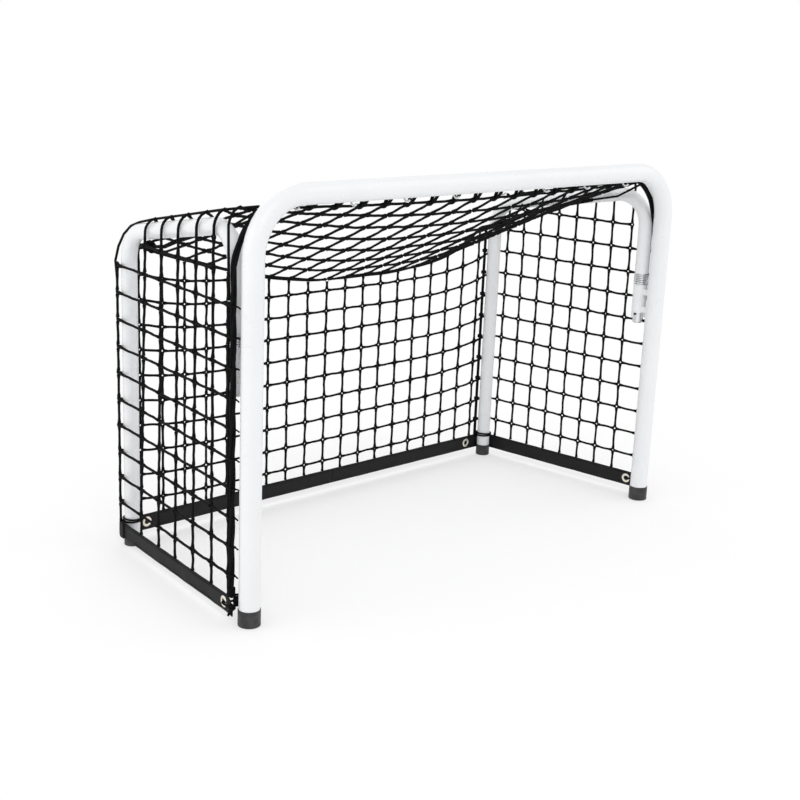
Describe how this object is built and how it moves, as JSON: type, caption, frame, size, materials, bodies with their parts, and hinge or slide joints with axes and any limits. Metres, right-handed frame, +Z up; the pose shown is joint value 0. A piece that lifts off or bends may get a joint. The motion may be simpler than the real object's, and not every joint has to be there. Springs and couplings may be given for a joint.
{
  "type": "floorball goal",
  "caption": "Foldable floorball goal: bent tube mouth frame, two swivelling sprung side bows, black knotted cord net with a webbing hem and cord ties.",
  "frame": {"origin": "middle of the goal's footprint, on the floor", "axes": "+X along the goal's width, +Y from the mouth to the rear, +Z up"},
  "size_m": [0.914, 0.385, 0.6],
  "materials": {
    "white_powder_coat": "gloss powder coat",
    "black_rubber": "satin moulded rubber",
    "zinc_steel": "zinc plated",
    "black_oxide_steel": "black oxide",
    "nickelled_brass": "pale nickel plate",
    "black_cord": "braided polyester cord",
    "black_webbing": "woven polypropylene webbing"
  },
  "bodies": {
    "goal_frame": {"front_frame": "white_powder_coat", "crossbar_hooks": "white_powder_coat", "mouth_rope": "black_cord", "top_net": "black_cord", "back_net": "black_cord", "back_band": "black_webbing", "left_front_foot": "black_rubber", "left_swivel_sleeve": "white_powder_coat", "left_weld_lugs": "white_powder_coat", "left_post_staple": "white_powder_coat", "left_front_tie": "black_cord", "right_front_foot": "black_rubber", "right_swivel_sleeve": "white_powder_coat", "right_weld_lugs": "white_powder_coat", "right_post_staple": "white_powder_coat", "right_front_tie": "black_cord"},
    "left_swivel": {"left_spring_seat": "zinc_steel", "left_spring": "zinc_steel", "left_side_net": "black_cord", "left_side_band": "black_webbing", "left_front_eyelet": "nickelled_brass", "left_rear_eyelet": "nickelled_brass", "left_rear_tie": "black_cord"},
    "left_bow": {"left_bow": "white_powder_coat", "left_spindle": "zinc_steel", "left_stop_pin": "black_oxide_steel", "left_rear_foot": "black_rubber"},
    "right_swivel": {"right_spring_seat": "zinc_steel", "right_spring": "zinc_steel", "right_side_net": "black_cord", "right_side_band": "black_webbing", "right_front_eyelet": "nickelled_brass", "right_rear_eyelet": "nickelled_brass", "right_rear_tie": "black_cord"},
    "right_bow": {"right_bow": "white_powder_coat", "right_spindle": "zinc_steel", "right_stop_pin": "black_oxide_steel", "right_rear_foot": "black_rubber"}
  },
  "joints": [
    {"name": "left_fold", "type": "hinge", "parent": "goal_frame", "child": "left_swivel", "pos_m": [-0.435, -0.1425, 0.357], "axis": [0, 0, -1], "range_deg": [0, 83], "deforming": ["top_net", "back_net", "back_band", "left_front_tie"]},
    {"name": "left_press", "type": "slide", "parent": "left_swivel", "child": "left_bow", "axis": [0, 0, 1], "range_m": [-0.005, 0], "stiffness_N_per_m": 3000, "springref_m": 0.008, "deforming": ["left_spring"]},
    {"name": "right_fold", "type": "hinge", "parent": "goal_frame", "child": "right_swivel", "pos_m": [0.435, -0.1425, 0.357], "axis": [0, 0, 1], "range_deg": [0, 83], "deforming": ["top_net", "back_net", "back_band", "right_front_tie"]},
    {"name": "right_press", "type": "slide", "parent": "right_swivel", "child": "right_bow", "axis": [0, 0, 1], "range_m": [-0.005, 0], "stiffness_N_per_m": 3000, "springref_m": 0.008, "deforming": ["right_spring"]}
  ]
}
